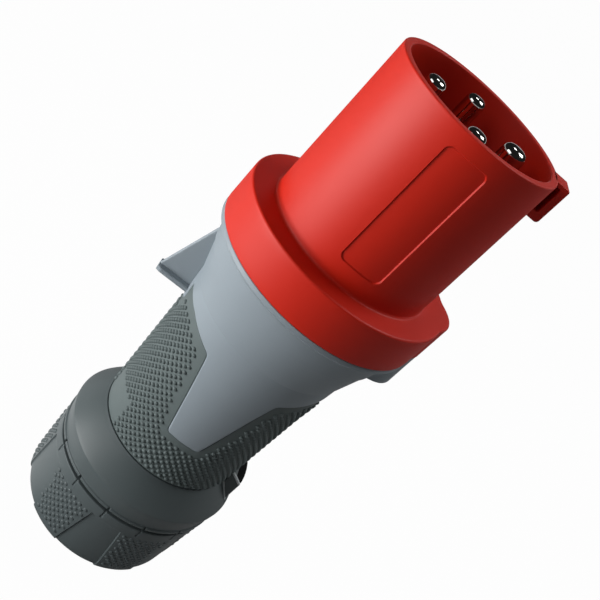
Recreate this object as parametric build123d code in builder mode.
from build123d import *
import os
from math import atan2, cos, degrees, radians, sin, sqrt

# Industrial pin and sleeve plug for three phases and earth, 63 A size. Millimetres, +Z along the axis
# towards the mouth, origin on the axis at the gland nut's rear face. The key and the earth pin are at +X
# (6 h), the lug at -X (12 h), the name field at -Y.

os.makedirs("parts", exist_ok=True)

# Clearances
running_gap = 0.3  # between pieces that move past each other, and round what is only slid in
end_gap = 0.2  # between the ends of fixed pieces
skin_gap = 0.05  # soft grip to housing
fit_gap = 0.03  # pins, screws and rings to their seats

# Lengths along the axis, from the nut's rear face to the mouth
nut_length = 35.3
nut_gap = 1.2
collar_side = 11.5
collar_cone = 11.6
housing_length = 102.5
flange_thickness = 17.2
sleeve_length = 68.0

# Sleeve, flange, nose and key of the plug front
sleeve_r = 35.5
sleeve_wall = 3.2
flange_r = 46.0
flange_wall = 4.0
seat_thickness = 5.5
edge_round = 0.8
base_fillet = 1.2
nose_r = 13.8
nose_inset = 10.5
key_width = 9.0
key_height = 5.5
key_length = 16.0
key_plate = 3.0
key_web = 1.6
key_end_wall = 1.6
key_rear_wall = 3.4
key_round = 1.4
field_width = 17.0
field_length = 53.0
field_drop = 6.5
field_depth = 0.6
field_corner = 3.0

# Pins and carrier
pin_circle_r = 18.3
phase_pin_r = 4.0
earth_pin_r = 5.0
pilot_pin_r = 3.0
pin_recess = 1.5
pilot_recess = 14.0
pin_tip_round = 2.2
carrier_depth = 50.0
carrier_face = 8.0
carrier_skirt = 2.5
carrier_flange = 3.0
boss_wall = 3.5
boss_length = 5.5
pin_seat_step = 0.6
rib_thickness = 2.4
rib_inner_r = 7.5
rib_tail = 20.0
terminal_wall = 2.3
terminal_length = 28.0
pilot_terminal_length = 38.0
wire_bore_depth = 16.0
wire_bore_margin = 2.0
terminal_screw_r = 2.95
terminal_screw_length = 7.0
pilot_screw_r = 1.95
pilot_screw_length = 5.0
socket_share = 0.5
carrier_screw_count = 3
carrier_screw_grip = 4.5
carrier_screw_r = 1.5
carrier_head_r = 2.5
carrier_head_height = 2.0

# Housing
rim_height = 2.6
rim_inset = 0.2
flare_top_inset = 2.8
flare_edge_inset = 5.5
flare_edge_drop = 13.3
waist_share = 0.37
waist_drop = 27.3
middle_r = 34.0
middle_drop = 52.0
rear_r = 31.9
flare_wall = 3.2
core_wall = 2.2
front_spigot_wall = 2.7
front_spigot_height = 6.0
rear_spigot_length = 8.3
rear_spigot_wall = 2.9
housing_nose_length = 16.8
bayonet_count = 3
bayonet_angle = 14.0
bayonet_height = 2.2
bayonet_reach = 1.2
seal_r = 0.75

# Lug at 12 h, its top edge runs from the flare out to the lip
lug_top_drop = 10.8
lug_stand = 3.4
lug_drop = 40.1
web_thickness = 1.8
lip_thickness = 2.2
lip_width = 8.0
island_width = 10.0
island_drop = 44.8

# Soft grip and the tongue outline that it leaves free
grip_thickness = 2.2
grip_recess = 0.4
grip_drop = 33.8
tongue_end_drop = 79.8
tongue_end_width = 15.4
tongue_shoulder_drop = 40.8
tongue_shoulder_width = 33.6
tongue_round = 2.2

# Gland body and its channel for the locking slide
collar_front_r = 32.2
collar_r = 40.3
collar_bulge = 0.3
lip_r = 38.7
lip_round = 0.7
tick_count = 14
tick_start = -95.4
tick_width = 0.7
tick_depth = 0.5
tick_length = 4.0
thread_r = 33.0
thread_length = 20.5
gland_bore_r = 24.0
shoulder_bore_r = 20.0
shoulder_thickness = 3.0
shoulder_cone = 8.0
cheek_width = 18.0
cheek_wall = 1.5
cheek_x = 37.5
cheek_height = 8.4
cheek_slant = 5.0
channel_floor_x = 34.0
slide_travel = 4.0
slide_length = 10.3
slide_x = 38.4
slide_round = 2.0
slide_nose_round = 0.8
leg_width = 4.0
leg_length = 2.1
leg_reach = 1.9

# Gland nut and what it squeezes
nut_front_r = 38.9
nut_rear_r = 37.4
nut_round = 5.0
nut_floor = 6.0
cable_r = 18.5
pad_count = 6
pad_height = 0.6
pad_drop = 4.8
gap_front_angle = 21.0
gap_rear_angle = 34.0
thrust_ring_r = 30.0
thrust_ring_height = 5.6
cage_bore_r = 19.0
cage_base = 4.0
cage_length = 16.2
cage_taper = 2.2
cage_slot = 1.6
cage_slot_count = 12
grommet_bore_r = 12.5
grommet_length = 13.4
grommet_chamfer = 1.5

# Heights of the main faces
lip_z = nut_length + nut_gap
shoulder_z = lip_z + collar_side
collar_front_z = shoulder_z + collar_cone
housing_rear_z = collar_front_z + end_gap
flange_rear_z = housing_rear_z + housing_length
flange_front_z = flange_rear_z + flange_thickness
mouth_z = flange_front_z + sleeve_length
seat_z = flange_front_z - seat_thickness
grip_top_z = flange_rear_z - grip_drop

# Radii that follow from the fits
sleeve_inner_r = sleeve_r - sleeve_wall
cavity_r = flange_r - flange_wall
front_spigot_r = cavity_r - running_gap
front_spigot_inner_r = front_spigot_r - front_spigot_wall
grip_depth = grip_thickness + grip_recess
flare_top_r = flange_r - flare_top_inset
flare_edge_r = flange_r - flare_edge_inset
waist_r = middle_r + waist_share * (flare_edge_r - middle_r)
nose_x = flange_r - nose_inset
lug_reach = flange_r + lug_stand
rear_spigot_r = rear_r - grip_depth
rear_spigot_inner_r = rear_spigot_r - rear_spigot_wall
body_bore_r = rear_spigot_r + running_gap


def ring_solid(points):
    """Solid of revolution about Z from the outline's points, each a radius and a height."""
    with BuildPart() as ring:
        with BuildSketch(Plane.XZ):
            with BuildLine():
                Polyline(*points, close=True)
            make_face()
        revolve(axis=Axis.Z)
    return ring.part


def finish(piece, name):
    """Labels the piece and writes it under its name."""
    piece.label = name
    export_step(piece, f"parts/{name}.step")


def outside_radius(z):
    """Radius of the housing's outside at height z, between the flare and the rear end."""
    outline = body_outline()
    for (upper_r, upper_z), (lower_r, lower_z) in zip(outline, outline[1:]):
        if z >= lower_z:
            return lower_r + (upper_r - lower_r) * (z - lower_z) / (upper_z - lower_z)
    return outline[-1][0]


def body_outline():
    """Housing's outside from the rim down to the rear end."""
    return [
        (flare_top_r, flange_rear_z - rim_height),
        (flare_edge_r, flange_rear_z - flare_edge_drop),
        (waist_r, flange_rear_z - waist_drop),
        (middle_r, flange_rear_z - middle_drop),
        (rear_r, housing_rear_z),
    ]


# Key block: front wall, outer plate and rear wall round a deep core pocket, closed by a web at +Y
key_x = sleeve_r + key_height
key_rear_z = mouth_z - key_length
with BuildPart() as key_block:
    with BuildSketch(Plane.XY.offset(key_rear_z)):
        with Locations((key_x - (key_height + sleeve_wall / 2) / 2, 0)):
            Rectangle(key_height + sleeve_wall / 2, key_width)
    extrude(amount=key_length)
    fillet(key_block.faces().sort_by(Axis.X)[-1].edges().filter_by(Axis.Z), key_round)
    fillet(key_block.faces().sort_by(Axis.Z)[0].edges().sort_by(Axis.X)[-1], key_round)
    with BuildSketch(Plane.XZ.offset(key_web - key_width / 2)):
        with Locations((key_x - key_plate, key_rear_z + key_rear_wall)):
            Rectangle(
                key_height,
                key_length - key_rear_wall - key_end_wall,
                align=(Align.MAX, Align.MIN),
            )
    extrude(amount=key_width, mode=Mode.SUBTRACT)

# Plug front: sleeve and flange ring with the nose in one moulding
with BuildPart() as plug_front:
    with BuildSketch(Plane.XY.offset(flange_rear_z)):
        Circle(flange_r)
        with Locations((nose_x, 0)):
            Circle(nose_r)
    extrude(amount=flange_thickness)
    fillet(plug_front.edges().group_by(Axis.Z)[-1], edge_round)
    with BuildSketch(Plane.XY.offset(flange_front_z)):
        Circle(sleeve_r)
    extrude(amount=sleeve_length)
    base_edges = plug_front.edges().filter_by(GeomType.CIRCLE).filter_by_position(
        Axis.Z, flange_front_z - 0.01, flange_front_z + 0.01
    )
    fillet(base_edges.filter_by(lambda edge: abs(edge.radius - sleeve_r) < 0.01), base_fillet)
    add(key_block.part)
    with BuildSketch(Plane.XY.offset(mouth_z)):
        Circle(sleeve_inner_r)
    extrude(amount=seat_z - mouth_z, mode=Mode.SUBTRACT)
    with BuildSketch(Plane.XY.offset(flange_rear_z)):
        Circle(cavity_r)
    extrude(amount=seat_z - flange_rear_z, mode=Mode.SUBTRACT)
    bore_edge = plug_front.edges().filter_by(GeomType.CIRCLE).group_by(Axis.Z)[-1]
    chamfer(bore_edge.filter_by(lambda edge: abs(edge.radius - sleeve_inner_r) < 0.01), edge_round / 2)

# Shallow field on the side at -Y
with BuildPart() as name_field:
    with BuildSketch(Plane.XY.offset(mouth_z - field_drop - field_length)):
        Circle(sleeve_r + field_depth)
        Circle(sleeve_r - field_depth, mode=Mode.SUBTRACT)
    extrude(amount=field_length)
    with BuildSketch(Plane.XZ):
        with Locations((0, mouth_z - field_drop - field_length / 2)):
            RectangleRounded(field_width, field_length, field_corner)
    extrude(amount=2 * sleeve_r, mode=Mode.INTERSECT)

# Bayonet lug on the housing's spigot and its slot in the flange ring, which turns in from an open entry
lug_middle_z = flange_rear_z + front_spigot_height - bayonet_height / 2 - end_gap
lug_r = front_spigot_r + bayonet_reach


def arc_block(inner_r, outer_r, angle, start, low_z, high_z):
    """Block between two radii over an angle that begins at start degrees."""
    corner = 2 * outer_r
    with BuildPart() as block:
        with BuildSketch(Plane.XY.offset(low_z)):
            Circle(outer_r)
            Circle(inner_r, mode=Mode.SUBTRACT)
            with BuildLine():
                Polyline(
                    (0, 0),
                    (corner * cos(radians(start)), corner * sin(radians(start))),
                    (corner * cos(radians(start + angle)), corner * sin(radians(start + angle))),
                    close=True,
                )
            make_face(mode=Mode.INTERSECT)
        extrude(amount=high_z - low_z)
    return block.part


slot_low_z = lug_middle_z - bayonet_height / 2 - running_gap
slot_high_z = lug_middle_z + bayonet_height / 2 + running_gap
slot_r = lug_r + running_gap
slot_angle = 2 * bayonet_angle + 2 * end_gap
bayonet_lug = arc_block(
    front_spigot_inner_r, lug_r, bayonet_angle, 60, slot_low_z + running_gap, slot_high_z - running_gap
)
turn_slot = arc_block(front_spigot_r, slot_r, slot_angle, 60 - end_gap, slot_low_z, slot_high_z)
entry_slot = arc_block(
    front_spigot_r, slot_r, bayonet_angle + end_gap, 60 + bayonet_angle, flange_rear_z, slot_high_z
)

carrier_screw_circle = (sleeve_inner_r + cavity_r) / 2
with BuildPart() as front_moulding:
    add(plug_front.part)
    add(name_field.part, mode=Mode.SUBTRACT)
    with PolarLocations(0, bayonet_count):
        add(turn_slot, mode=Mode.SUBTRACT)
        add(entry_slot, mode=Mode.SUBTRACT)
    with BuildSketch(Plane.XY.offset(seat_z)):
        with PolarLocations(carrier_screw_circle, carrier_screw_count, start_angle=60):
            Circle(carrier_screw_r + fit_gap)
    extrude(amount=carrier_screw_grip, mode=Mode.SUBTRACT)
finish(front_moulding.part, "plug_front")

# Contact carrier: face plate, skirt and flange, pin bosses and a rib cross that parts the terminals
face_z = mouth_z - carrier_depth
carrier_r = sleeve_inner_r - running_gap
carrier_inner_r = carrier_r - carrier_skirt
carrier_flange_z = seat_z - carrier_flange
boss_rear_z = face_z - carrier_face - boss_length
rib_rear_z = carrier_flange_z - rib_tail
pin_angles = {"earth_pin": 0, "phase_pin_l1": 90, "phase_pin_l2": 180, "phase_pin_l3": 270}


def pin_radius(name):
    return earth_pin_r if name == "earth_pin" else phase_pin_r


def pin_place(name):
    angle = radians(pin_angles[name])
    return (pin_circle_r * cos(angle), pin_circle_r * sin(angle))


with BuildPart() as contact_carrier:
    add(
        ring_solid(
            [
                (0, face_z),
                (carrier_r, face_z),
                (carrier_r, seat_z),
                (cavity_r - running_gap, seat_z),
                (cavity_r - running_gap, carrier_flange_z),
                (carrier_inner_r, carrier_flange_z),
                (carrier_inner_r, face_z - carrier_face),
                (0, face_z - carrier_face),
            ]
        )
    )
    with BuildSketch(Plane.XY.offset(rib_rear_z)):
        with PolarLocations((rib_inner_r + carrier_inner_r) / 2, 4, start_angle=45):
            Rectangle(carrier_inner_r - rib_inner_r + carrier_skirt / 2, rib_thickness)
    extrude(amount=face_z - carrier_face / 2 - rib_rear_z)
    with BuildSketch(Plane.XY.offset(boss_rear_z)):
        Circle(pilot_pin_r + boss_wall)
        for name in pin_angles:
            with Locations(pin_place(name)):
                Circle(pin_radius(name) + boss_wall)
    extrude(amount=carrier_face / 2 + boss_length)
    with BuildSketch(Plane.XY.offset(face_z)):
        Circle(pilot_pin_r + pin_seat_step + fit_gap)
        for name in pin_angles:
            with Locations(pin_place(name)):
                Circle(pin_radius(name) + pin_seat_step + fit_gap)
    extrude(amount=boss_rear_z - face_z, mode=Mode.SUBTRACT)
    with BuildSketch(Plane.XY.offset(carrier_flange_z)):
        with PolarLocations(carrier_screw_circle, carrier_screw_count, start_angle=60):
            Circle(carrier_screw_r + running_gap)
    extrude(amount=carrier_flange, mode=Mode.SUBTRACT)
finish(contact_carrier.part, "contact_carrier")

# Screws that hold the carrier against its seat
with BuildPart() as carrier_screws:
    with BuildSketch(Plane.XY.offset(carrier_flange_z - carrier_head_height)):
        with PolarLocations(carrier_screw_circle, carrier_screw_count, start_angle=60):
            Circle(carrier_head_r)
            SlotOverall(2 * carrier_head_r - 1, 0.8, mode=Mode.SUBTRACT)
    extrude(amount=carrier_head_height / 2)
    with BuildSketch(Plane.XY.offset(carrier_flange_z - carrier_head_height / 2)):
        with PolarLocations(carrier_screw_circle, carrier_screw_count, start_angle=60):
            Circle(carrier_head_r)
    extrude(amount=carrier_head_height / 2)
    with BuildSketch(Plane.XY.offset(carrier_flange_z)):
        with PolarLocations(carrier_screw_circle, carrier_screw_count, start_angle=60):
            Circle(carrier_screw_r)
    extrude(amount=carrier_flange + carrier_screw_grip - end_gap)
finish(carrier_screws.part, "carrier_screws")


def contact(radius, tip_z, terminal_rear, screw_r):
    """Turned pin on the axis: domed shank, seat in the carrier, barrel with wire bore and screw hole."""
    barrel_r = radius + terminal_wall
    round_r = min(pin_tip_round, 0.6 * radius)
    screw_z = terminal_rear + wire_bore_depth / 2
    with BuildPart() as pin:
        with BuildSketch(Plane.XY.offset(terminal_rear)):
            Circle(barrel_r)
        extrude(amount=boss_rear_z - terminal_rear)
        chamfer(pin.edges().group_by(Axis.Z)[0], terminal_wall / 4)
        with BuildSketch(Plane.XY.offset(boss_rear_z)):
            Circle(radius + pin_seat_step)
        extrude(amount=face_z - boss_rear_z)
        with BuildSketch(Plane.XY.offset(face_z)):
            Circle(radius + pin_seat_step)
        extrude(amount=pin_seat_step, taper=45)
        with BuildSketch(Plane.XY.offset(face_z)):
            Circle(radius)
        extrude(amount=tip_z - face_z)
        fillet(pin.edges().group_by(Axis.Z)[-1], round_r)
        with BuildSketch(Plane.XY.offset(terminal_rear)):
            Circle(radius - wire_bore_margin / 2)
        extrude(amount=wire_bore_depth, mode=Mode.SUBTRACT)
        with BuildSketch(Plane.YZ):
            with Locations((0, screw_z)):
                Circle(screw_r + fit_gap)
        extrude(amount=barrel_r + 1, mode=Mode.SUBTRACT)
    return pin.part


def grub_screw(radius, length, inner_x, z):
    """Set screw along +X from inner_x, with a hexagon socket at its outer end."""
    with BuildPart() as screw:
        with BuildSketch(Plane.YZ.offset(inner_x)):
            with Locations((0, z)):
                Circle(radius)
        extrude(amount=length)
        with BuildSketch(Plane.YZ.offset(inner_x + length)):
            with Locations((0, z)):
                RegularPolygon(radius * socket_share, 6)
        extrude(amount=-length / 2, mode=Mode.SUBTRACT)
    return screw.part


terminal_rear_z = boss_rear_z - terminal_length
for name, angle in pin_angles.items():
    radius = pin_radius(name)
    place = Location((*pin_place(name), 0), (0, 0, angle))
    pin_solid = contact(radius, mouth_z - pin_recess, terminal_rear_z, terminal_screw_r)
    finish(pin_solid.moved(place), name)
    screw_z = terminal_rear_z + wire_bore_depth / 2
    screw_solid = grub_screw(terminal_screw_r, terminal_screw_length, radius - wire_bore_margin, screw_z)
    finish(screw_solid.moved(place), "terminal_screw_" + name.split("_")[-1].replace("pin", "earth"))

pilot_rear_z = boss_rear_z - pilot_terminal_length
finish(contact(pilot_pin_r, mouth_z - pilot_recess, pilot_rear_z, pilot_screw_r), "pilot_pin")
pilot_screw = grub_screw(
    pilot_screw_r, pilot_screw_length, pilot_pin_r - wire_bore_margin, pilot_rear_z + wire_bore_depth / 2
)
finish(pilot_screw, "terminal_screw_pilot")


def grip_solid(outer_shift, inner_shift, gap):
    """Soft grip between two shifts of the housing's outline, less the two tongues and the lug's island."""
    outline = [(radius, z) for radius, z in body_outline() if z < grip_top_z]
    outline.insert(0, (outside_radius(grip_top_z), grip_top_z))
    outer = [(radius + outer_shift, z) for radius, z in outline]
    inner = [(radius + inner_shift, z) for radius, z in reversed(outline)]
    reach = 2 * waist_r
    end_z = flange_rear_z - tongue_end_drop + gap
    shoulder_z_here = flange_rear_z - tongue_shoulder_drop + gap
    island_z = flange_rear_z - island_drop + gap
    with BuildPart() as grip:
        add(ring_solid(outer + inner))
        with BuildSketch(Plane.XZ):
            with BuildLine():
                Polyline(
                    (-tongue_end_width / 2 + gap, end_z),
                    (tongue_end_width / 2 - gap, end_z),
                    (tongue_shoulder_width / 2 - gap, shoulder_z_here),
                    (outside_radius(grip_top_z) + 1, grip_top_z + gap),
                    (reach, grip_top_z + gap),
                    (reach, grip_top_z + grip_drop),
                    (-reach, grip_top_z + grip_drop),
                    (-reach, grip_top_z + gap),
                    (-outside_radius(grip_top_z) - 1, grip_top_z + gap),
                    (-tongue_shoulder_width / 2 + gap, shoulder_z_here),
                    close=True,
                )
            tongue = make_face()
            fillet(tongue.vertices().group_by(Axis.Y)[0], tongue_round)
            shoulders = tongue.vertices().filter_by_position(Axis.X, -reach / 2, reach / 2)
            fillet(shoulders.group_by(Axis.Y)[-1], tongue_round)
        extrude(amount=reach, both=True, mode=Mode.SUBTRACT)
        with BuildSketch(Plane.YZ):
            with Locations((0, island_z)):
                Rectangle(island_width - 2 * gap, 2 * grip_drop, align=(Align.CENTER, Align.MIN))
        extrude(amount=-reach, mode=Mode.SUBTRACT)
    return grip.part


grip_sleeve = grip_solid(-grip_recess, -grip_depth, 0)
grip_pocket = grip_solid(flange_r - rear_r, -grip_depth - skin_gap, skin_gap)
finish(grip_sleeve, "grip_sleeve")

# Housing: flared shell with rim, spigots, nose, lug and the pocket of the grip
shell = [(rear_spigot_inner_r, housing_rear_z - rear_spigot_length)]
shell += [(rear_spigot_r, housing_rear_z - rear_spigot_length), (rear_spigot_r, housing_rear_z)]
shell += list(reversed(body_outline()))
shell += [(flange_r - rim_inset, flange_rear_z - rim_height), (flange_r - rim_inset, flange_rear_z)]
shell += [(front_spigot_r, flange_rear_z), (front_spigot_r, flange_rear_z + front_spigot_height)]
shell += [(front_spigot_inner_r, flange_rear_z + front_spigot_height)]
shell += [(front_spigot_inner_r, flange_rear_z - rim_height)]
shell += [(flare_edge_r - flare_wall, flange_rear_z - flare_edge_drop)]
shell += [(radius - grip_depth - core_wall, z) for radius, z in body_outline()[2:]]
notch_height = leg_length + slide_travel - running_gap
spigot_rear_z = housing_rear_z - rear_spigot_length
ring_z = flange_rear_z + seal_r + end_gap
rear_ring_z = collar_front_z - seal_r - 2 * end_gap
front_ring_r = cavity_r - seal_r - fit_gap
rear_ring_r = body_bore_r - seal_r - fit_gap

with BuildPart() as housing:
    add(ring_solid(shell))
    with BuildSketch(Plane.XY.offset(flange_rear_z - housing_nose_length)):
        with Locations((nose_x, 0)):
            Circle(nose_r - rim_inset)
        Circle(waist_r, mode=Mode.SUBTRACT)
    extrude(amount=housing_nose_length)
    add(
        ring_solid(
            [
                (0, flange_rear_z),
                (front_spigot_inner_r, flange_rear_z),
                (front_spigot_inner_r, flange_rear_z - rim_height),
                (flare_edge_r - flare_wall, flange_rear_z - flare_edge_drop),
                (waist_r - grip_depth - core_wall, flange_rear_z - waist_drop),
                (0, flange_rear_z - waist_drop),
            ]
        ),
        mode=Mode.SUBTRACT,
    )
    add(grip_pocket, mode=Mode.SUBTRACT)
    with BuildSketch(Plane.XZ):
        with BuildLine():
            Polyline(
                (-flare_edge_r, flange_rear_z - lug_top_drop),
                (-lug_reach, flange_rear_z - lug_drop),
                (-waist_r + core_wall, flange_rear_z - lug_drop),
                (-waist_r + core_wall, flange_rear_z - waist_drop),
                (-flare_edge_r + core_wall, flange_rear_z - lug_top_drop),
                close=True,
            )
        make_face()
    extrude(amount=web_thickness / 2, both=True)
    with BuildSketch(Plane.XY.offset(flange_rear_z - lug_drop)):
        with Locations((-lug_reach, 0)):
            Rectangle(lug_reach - waist_r + core_wall, lip_width, align=(Align.MIN, Align.CENTER))
    extrude(amount=-lip_thickness)
    with PolarLocations(0, bayonet_count):
        add(bayonet_lug)
    with BuildSketch(Plane.YZ):
        with Locations((0, spigot_rear_z)):
            Rectangle(leg_width + 2 * running_gap, notch_height, align=(Align.CENTER, Align.MIN))
    extrude(amount=rear_r, mode=Mode.SUBTRACT)
    front_groove = (front_ring_r, ring_z, front_spigot_r)
    rear_groove = (rear_ring_r, rear_ring_z, rear_spigot_r)
    for ring_r, z, spigot in (front_groove, rear_groove):
        groove_r = ring_r - seal_r - fit_gap
        add(
            ring_solid(
                [
                    (groove_r, z - seal_r - fit_gap),
                    (spigot + fit_gap, z - seal_r - fit_gap),
                    (spigot + fit_gap, z + seal_r + fit_gap),
                    (groove_r, z + seal_r + fit_gap),
                ]
            ),
            mode=Mode.SUBTRACT,
        )
finish(housing.part, "housing")

# O-rings in the two spigots' grooves
for name, ring_r, z in (("front_seal", front_ring_r, ring_z), ("rear_seal", rear_ring_r, rear_ring_z)):
    with BuildPart() as seal:
        with BuildSketch(Plane.XZ):
            with Locations((ring_r, z)):
                Circle(seal_r)
        revolve(axis=Axis.Z)
    finish(seal.part, name)

# Gland body: conical collar, threaded tube, bore with a shoulder, channel with cheeks for the slide
thread_end_z = lip_z - thread_length
cage_top_z = nut_floor + 2 * running_gap + thrust_ring_height - cage_taper + cage_length
grommet_z = cage_top_z + running_gap
gland_shoulder_z = grommet_z + grommet_length + running_gap
channel_rear_z = shoulder_z + 2 * running_gap
slide_rear_z = channel_rear_z + running_gap + slide_travel
slide_front_z = slide_rear_z + slide_length
cheek_front_z = collar_front_z + cheek_height
grip_clear_r = rear_r + running_gap + 0.4

with BuildPart() as gland_body:
    with BuildSketch(Plane.XZ):
        with BuildLine():
            Line((body_bore_r, collar_front_z), (collar_front_r, collar_front_z))
            ThreePointArc(
                (collar_front_r, collar_front_z),
                (
                    (collar_front_r + collar_r) / 2 + collar_bulge * sin(radians(60)),
                    (collar_front_z + shoulder_z) / 2 + collar_bulge * cos(radians(60)),
                ),
                (collar_r, shoulder_z),
            )
            Polyline(
                (collar_r, shoulder_z),
                (lip_r, lip_z + 2 * lip_round),
                (lip_r, lip_z),
                (thread_r, lip_z),
                (thread_r, thread_end_z),
                (gland_bore_r, thread_end_z),
                (gland_bore_r, gland_shoulder_z),
                (shoulder_bore_r, gland_shoulder_z),
                (shoulder_bore_r, gland_shoulder_z + shoulder_thickness),
                (body_bore_r, gland_shoulder_z + shoulder_thickness + shoulder_cone),
                (body_bore_r, collar_front_z),
            )
        make_face()
    revolve(axis=Axis.Z)
    lip_edges = gland_body.edges().filter_by(GeomType.CIRCLE).filter_by_position(
        Axis.Z, lip_z - 0.01, lip_z + 0.01
    )
    fillet(lip_edges.filter_by(lambda edge: abs(edge.radius - lip_r) < 0.01), lip_round)
    with BuildSketch(Plane.XY.offset(lip_z)):
        with PolarLocations(lip_r - tick_depth, tick_count, start_angle=tick_start):
            Rectangle(collar_r, tick_width, align=(Align.MIN, Align.CENTER))
    extrude(amount=tick_length, mode=Mode.SUBTRACT)
    with BuildSketch(Plane.XZ):
        with BuildLine():
            Polyline(
                (body_bore_r + 1, channel_rear_z),
                (cheek_x, channel_rear_z),
                (cheek_x, cheek_front_z - cheek_slant),
                (grip_clear_r - 1.5, cheek_front_z),
                (body_bore_r + 1, cheek_front_z),
                close=True,
            )
        make_face()
    extrude(amount=cheek_width / 2, both=True)
    with BuildSketch(Plane.XY.offset(collar_front_z)):
        Circle(grip_clear_r)
    extrude(amount=cheek_height + 1, mode=Mode.SUBTRACT)
    with BuildSketch(Plane.XZ):
        with Locations((channel_floor_x, channel_rear_z)):
            Rectangle(flange_r, cheek_front_z + 1 - channel_rear_z, align=(Align.MIN, Align.MIN))
    extrude(amount=cheek_width / 2 - cheek_wall, both=True, mode=Mode.SUBTRACT)
    with BuildSketch(Plane.YZ):
        with Locations((0, channel_rear_z)):
            Rectangle(
                leg_width + 2 * running_gap,
                slide_travel + leg_length + 2 * running_gap,
                align=(Align.CENTER, Align.MIN),
            )
    extrude(amount=flange_r, mode=Mode.SUBTRACT)
finish(gland_body.part, "gland_body")

# Locking slide: rounded block with a leg that drops into the housing's notch
slide_width = cheek_width - 2 * cheek_wall - 2 * running_gap
slide_floor_x = channel_floor_x + running_gap
with BuildPart() as locking_slide:
    with BuildSketch(Plane.XY.offset(slide_rear_z)):
        with Locations((slide_floor_x, 0)):
            Rectangle(slide_x - slide_floor_x, slide_width, align=(Align.MIN, Align.CENTER))
    extrude(amount=slide_length)
    fillet(locking_slide.faces().sort_by(Axis.X)[-1].edges().filter_by(Axis.Z), slide_round)
    fillet(locking_slide.faces().sort_by(Axis.X)[-1].edges().filter_by(Axis.Y), slide_nose_round)
    with BuildSketch(Plane.XY.offset(slide_rear_z)):
        with Locations((rear_spigot_r - leg_reach, 0)):
            Rectangle(slide_floor_x - rear_spigot_r + leg_reach, leg_width, align=(Align.MIN, Align.CENTER))
    extrude(amount=leg_length)
finish(locking_slide.part, "locking_slide")

# Sealing grommet: thick rubber ring with chamfered bore ends
grommet_r = gland_bore_r - running_gap
with BuildPart() as sealing_grommet:
    with BuildSketch(Plane.XY.offset(grommet_z)):
        Circle(grommet_r)
        Circle(grommet_bore_r, mode=Mode.SUBTRACT)
    extrude(amount=grommet_length)
    bore_edges = sealing_grommet.edges().filter_by(GeomType.CIRCLE)
    chamfer(bore_edges.filter_by(lambda edge: abs(edge.radius - grommet_bore_r) < 0.01), grommet_chamfer)
finish(sealing_grommet.part, "sealing_grommet")

# Clamping cage: ring with tapered fingers that point at the thrust ring
cage_rear_z = cage_top_z - cage_length
cage_r = gland_bore_r - running_gap
with BuildPart() as clamping_cage:
    add(
        ring_solid(
            [
                (cage_bore_r, cage_top_z),
                (cage_r, cage_top_z),
                (cage_r, cage_rear_z + 2 * cage_taper),
                (cage_r - cage_taper, cage_rear_z),
                (cage_bore_r, cage_rear_z),
            ]
        )
    )
    with BuildSketch(Plane.XY.offset(cage_rear_z)):
        with PolarLocations((cage_bore_r + cage_r) / 2, cage_slot_count):
            Rectangle(2 * (cage_r - cage_bore_r), cage_slot)
    extrude(amount=cage_length - cage_base, mode=Mode.SUBTRACT)
finish(clamping_cage.part, "clamping_cage")

# Thrust ring: lies on the nut's floor and closes the fingers with its cone
thrust_z = nut_floor + running_gap
thrust_top_z = thrust_z + thrust_ring_height
cone_outer_r = cage_r - cage_taper + running_gap
with BuildPart() as thrust_ring:
    add(
        ring_solid(
            [
                (cage_bore_r, thrust_z),
                (thrust_ring_r, thrust_z),
                (thrust_ring_r, thrust_top_z - cage_taper),
                (thrust_ring_r - cage_taper, thrust_top_z),
                (cone_outer_r + cage_taper / 2, thrust_top_z),
                (cone_outer_r, cage_rear_z - running_gap),
                (cage_bore_r, cage_rear_z - running_gap),
            ]
        )
    )
finish(thrust_ring.part, "thrust_ring")

# Gland nut: threaded bore, floor with the cable hole, six pads left by the recesses between them
nut_bore_r = thread_r + running_gap
nut_outline = [
    (nut_rear_r - nut_round, 0),
    (nut_rear_r - 0.29 * nut_round, 0.29 * nut_round),
    (nut_rear_r, nut_round),
    (nut_front_r, nut_length - edge_round),
    (nut_front_r - edge_round, nut_length),
]
gap_top_z = nut_length - pad_drop
recess_outline = [(nut_rear_r - nut_round - pad_height, 0), (nut_rear_r - pad_height, nut_round)]
recess_outline += [(nut_front_r - pad_height, nut_length)]
recess_outline += [(nut_front_r + 1, nut_length), (nut_front_r + 1, 0)]
gap_front = nut_front_r * sin(radians(gap_front_angle / 2))
gap_rear = nut_front_r * sin(radians(gap_rear_angle / 2))
with BuildPart() as recess:
    add(ring_solid(recess_outline))
    with BuildSketch(Plane.YZ):
        with BuildLine():
            Polyline(
                (-gap_rear, 0),
                (gap_rear, 0),
                (gap_front, gap_top_z),
                (-gap_front, gap_top_z),
                close=True,
            )
        make_face()
    extrude(amount=2 * nut_front_r, mode=Mode.INTERSECT)

with BuildPart() as gland_nut:
    with BuildSketch(Plane.XZ):
        with BuildLine():
            Polyline(
                nut_outline[2],
                *nut_outline[3:],
                (nut_bore_r, nut_length),
                (nut_bore_r, thread_end_z - nut_gap),
                (thrust_ring_r + running_gap, thread_end_z - nut_gap),
                (thrust_ring_r + running_gap, nut_floor),
                (cable_r, nut_floor),
                (cable_r, 0),
                nut_outline[0],
            )
            RadiusArc(nut_outline[0], nut_outline[2], -nut_round)
        make_face()
    revolve(axis=Axis.Z)
    with PolarLocations(0, pad_count, start_angle=180 / pad_count):
        add(recess.part, mode=Mode.SUBTRACT)
    with BuildSketch(Plane.XY.offset(nut_length)):
        with PolarLocations(nut_front_r - tick_depth, tick_count, start_angle=tick_start):
            Rectangle(collar_r, tick_width, align=(Align.MIN, Align.CENTER))
    extrude(amount=-tick_length, mode=Mode.SUBTRACT)
finish(gland_nut.part, "gland_nut")
